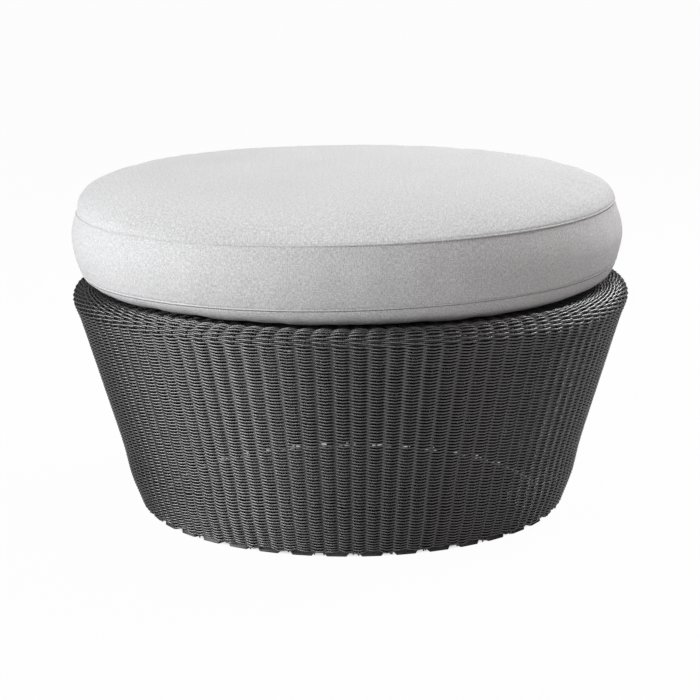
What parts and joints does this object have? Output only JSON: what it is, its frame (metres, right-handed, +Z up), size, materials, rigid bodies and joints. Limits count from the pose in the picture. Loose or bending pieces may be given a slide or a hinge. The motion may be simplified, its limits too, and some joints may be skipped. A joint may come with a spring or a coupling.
{
  "type": "outdoor ottoman footstool",
  "caption": "Round outdoor footstool with a tapering woven base on a tube frame and a loose, thick round cushion that lifts off.",
  "frame": {"origin": "on the floor, under the middle of the stool", "axes": "+Z up, -Y towards the front that the picture shows, the cushion's zip at the back on +Y"},
  "size_m": [0.7697, 0.7694, 0.4728],
  "materials": {
    "weave": "satin",
    "binding": "satin",
    "tube": "satin",
    "cover": "matte",
    "foam": "matte",
    "zip_tape": "matte",
    "zip_slider": "satin"
  },
  "bodies": {
    "base": {"rim_tube_ring": "tube", "foot_tube_ring": "tube", "strut_1": "tube", "strut_2": "tube", "strut_3": "tube", "strut_4": "tube", "strut_5": "tube", "strut_6": "tube", "strut_7": "tube", "strut_8": "tube", "deck_bar_long": "tube", "deck_bar_front": "tube", "deck_bar_back": "tube", "deck_arc_front_left": "tube", "deck_arc_front_right": "tube", "deck_arc_back_right": "tube", "deck_arc_back_left": "tube", "woven_wall": "weave", "woven_deck": "weave", "foot_binding": "binding"},
    "cushion": {"cushion_foam": "foam", "cushion_top_panel": "cover", "cushion_band": "cover", "cushion_bottom_panel": "cover", "zip_tape": "zip_tape"},
    "slider": {"zip_slider": "zip_slider"}
  },
  "joints": [
    {"name": "cushion_lift", "type": "slide", "parent": "base", "child": "cushion", "axis": [0, 0, 1], "range_m": [0, 0.2]},
    {"name": "zip_run", "type": "hinge", "parent": "cushion", "child": "slider", "pos_m": [-0.005, 0, 0.383], "axis": [0, 0, 1], "range_deg": [0, 72]}
  ]
}
